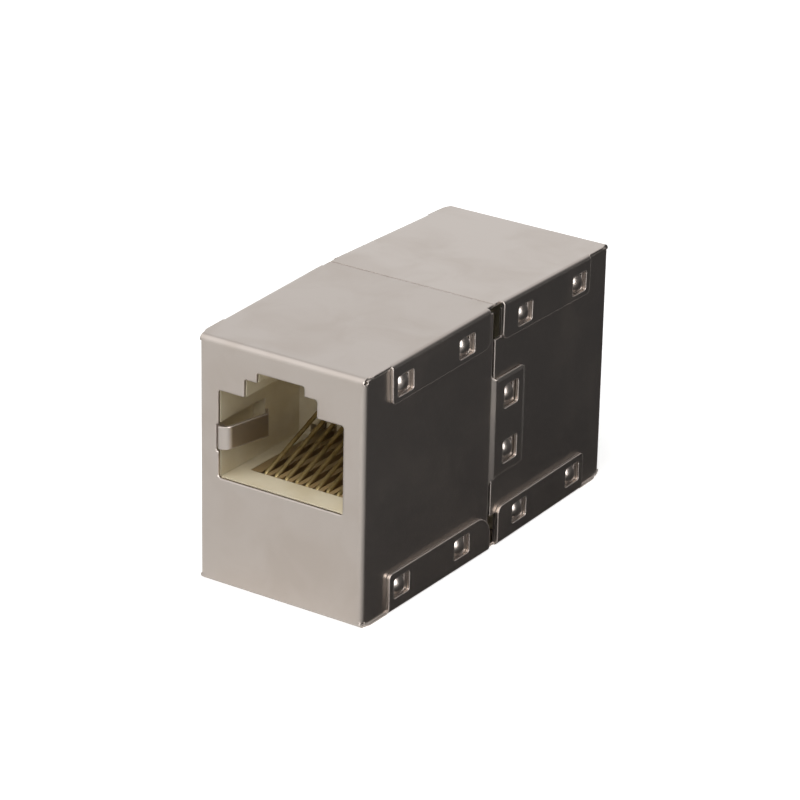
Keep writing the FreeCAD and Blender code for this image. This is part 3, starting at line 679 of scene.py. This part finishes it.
    def strength(self, tree: bpy.types.NodeTree, way: bpy.types.Node,
                 path: bpy.types.Node) -> Socket:
        """Give the room's strength: full in reflections, and a share of it on dull surfaces.

        Args:
            tree: The world's node tree.
            way: The node that splits the direction looked in.
            path: The Light Path node.

        Returns:
            The strength.
        """
        even = node(tree, "ShaderNodeMapRange", {"Value": path.outputs["Is Diffuse Ray"],
                                                 "To Min": 1.0, "To Max": self.dull_share})
        start, end = self.glow_band
        level, overhead = self.glow
        glow = node(tree, "ShaderNodeMapRange", {"Value": way.outputs["Z"], "From Min": start,
                                                 "From Max": end, "To Min": level,
                                                 "To Max": overhead})
        return node(tree, "ShaderNodeMath", {0: even.outputs[0], 1: glow.outputs[0]},
                    operation="MULTIPLY").outputs[0]

    def fill(self) -> None:
        """Make the room the scene's world."""
        world = bpy.data.worlds.new("studio")
        bpy.context.scene.world = world
        world.use_nodes = True
        tree = world.node_tree
        back = next(item for item in tree.nodes if item.type == "BACKGROUND")
        direction = node(tree, "ShaderNodeTexCoord").outputs["Generated"]
        way = node(tree, "ShaderNodeSeparateXYZ", {"Vector": direction})
        path = node(tree, "ShaderNodeLightPath")
        feed(tree, back, {"Color": self.tint(tree, way, path),
                          "Strength": self.strength(tree, way, path)})


@dataclass(frozen=True)
class SoftLamp:
    """A square soft lamp that faces the coupler."""

    name: str
    place: Point
    side_m: float
    watts: float
    reach: Reach

    def hang(self) -> None:
        """Hang the lamp in its place."""
        data = bpy.data.lights.new(self.name, "AREA")
        data.size = self.side_m
        data.energy = self.watts
        made = bpy.data.objects.new(self.name, data)
        made.location = self.place
        made.rotation_euler = (-Vector(self.place)).to_track_quat("-Z", "Y").to_euler()
        made.visible_diffuse = self.reach is Reach.DULL
        made.visible_glossy = self.reach is Reach.MIRRORED
        bpy.context.scene.collection.objects.link(made)


@dataclass(frozen=True)
class Camera:
    """The camera, which looks down on the front socket and the right-hand wall."""

    place: Point = (0.15122, -0.23071, 0.13108)
    heading_deg: float = -33.39
    pitch_deg: float = 23.44
    roll_deg: float = -1.15
    lens_mm: float = 162.1
    sensor_mm: float = 36.0
    nearest_m: float = 0.01
    farthest_m: float = 50.0

    def set_up(self) -> None:
        """Place the camera and aim it by heading, pitch and roll.

        Forward is the heading turned down by the pitch; right is level and square to it; the
        roll then turns right and up about forward.
        """
        heading, pitch, roll = (math.radians(angle) for angle in
                                (self.heading_deg, self.pitch_deg, self.roll_deg))
        forward = Vector((math.sin(heading) * math.cos(pitch),
                          math.cos(heading) * math.cos(pitch), -math.sin(pitch)))
        level = Vector((math.cos(heading), -math.sin(heading), 0))
        down = forward.cross(level)
        right = level * math.cos(roll) + down * math.sin(roll)
        up = level * math.sin(roll) - down * math.cos(roll)
        data = bpy.data.cameras.new("camera")
        data.lens = self.lens_mm
        data.sensor_width = self.sensor_mm
        data.clip_start = self.nearest_m
        data.clip_end = self.farthest_m
        made = bpy.data.objects.new("camera", data)
        turn = Matrix((right, up, -forward)).transposed()
        made.matrix_world = Matrix.Translation(self.place) @ turn.to_4x4()
        bpy.context.scene.collection.objects.link(made)
        bpy.context.scene.camera = made


@dataclass(frozen=True)
class Studio:
    """The floor, the card, the room, the camera and three lamps.

    The key lights dull surfaces. The sheen shows in the folds and the glint in the lances.
    """

    floor: PaperFloor = PaperFloor()
    card: DarkCard = DarkCard()
    room: Room = Room()
    camera: Camera = Camera()
    lamps: tuple[SoftLamp, ...] = (
        SoftLamp("key", place=(-0.06, -0.50, 0.60), side_m=1.0, watts=7.8, reach=Reach.DULL),
        SoftLamp("sheen", place=(-0.20, -0.28, 0.44), side_m=0.64, watts=0.65,
                 reach=Reach.MIRRORED),
        SoftLamp("glint", place=(0.39, -0.22, 0.19), side_m=0.5, watts=4.5,
                 reach=Reach.MIRRORED),
    )

    def set_up(self) -> None:
        """Build the whole studio."""
        self.floor.lay()
        self.card.lay()
        self.room.fill()
        for lamp in self.lamps:
            lamp.hang()
        self.camera.set_up()
        bpy.context.scene.view_settings.view_transform = "Standard"


# ---- the whole -----------------------------------------------------------------------------

def corners() -> list[list[float]]:
    """Give the model's box as plain lists: lowest corner, highest corner."""
    return [[float(value) for value in corner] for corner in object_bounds()]


def main() -> None:
    """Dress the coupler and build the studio."""
    logging.basicConfig(level=logging.INFO, format="%(name)s %(message)s")
    cad_box = corners()
    _, highest = cad_box
    sheet = NickelPlatedSheet(socket_face_m=highest[1]).material()
    ivory = MouldedPolyester().material()
    # Painted shade: the contact carriers are drawn in a darker tan than the ivory housings. The tan
    # stands in for the shade that falls deep in the sockets and under the wires.
    painted_shade_tan = MouldedPolyester(name="pbt_with_painted_shade", body="#9B845E", shade="#8C7551").material()
    wire = GoldFlashedWire().material()
    for end in End:
        CouplerHalf(end, sheet, ivory, painted_shade_tan, wire).finish()
    CircuitBoard(GlassEpoxyBoard().material()).finish()
    Studio().set_up()


if __name__ == "__main__":
    main()
